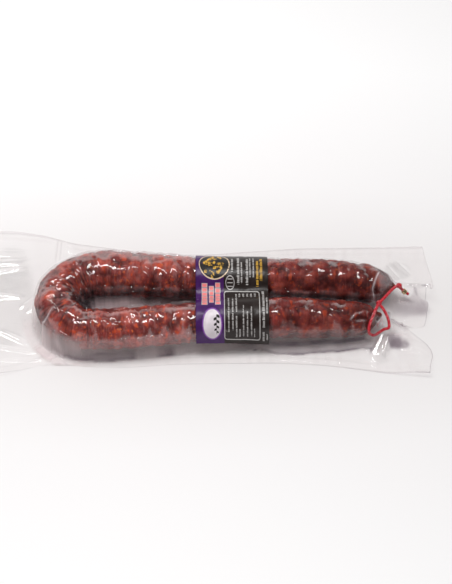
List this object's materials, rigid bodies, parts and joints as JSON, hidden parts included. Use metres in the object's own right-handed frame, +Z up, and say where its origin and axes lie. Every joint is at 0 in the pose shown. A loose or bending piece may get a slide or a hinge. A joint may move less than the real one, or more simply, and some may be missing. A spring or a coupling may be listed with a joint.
{
  "type": "cured sausage",
  "caption": "horseshoe cured sausage tied with red string, vacuum-sealed in a clear bag with a printed label across both legs",
  "frame": {"origin": "a point on the flat underside of the bag, below the middle of the sausage", "axes": "+X along the legs from the bend to the tied ends, +Y from the front leg to the rear leg, +Z up"},
  "size_m": [0.373, 0.1407, 0.0392],
  "materials": {
    "skin": "satin, dark brick-red cured skin with lighter orange-red lumps",
    "film": "glossy clear film",
    "print": "semi-gloss print, violet strip and black-brown field",
    "string": "twisted red twine",
    "metal": "bare satin metal"
  },
  "bodies": {
    "root": {"sausage": "skin", "bag": "film", "label": "print", "string": "string", "clip": "metal"}
  },
  "joints": []
}
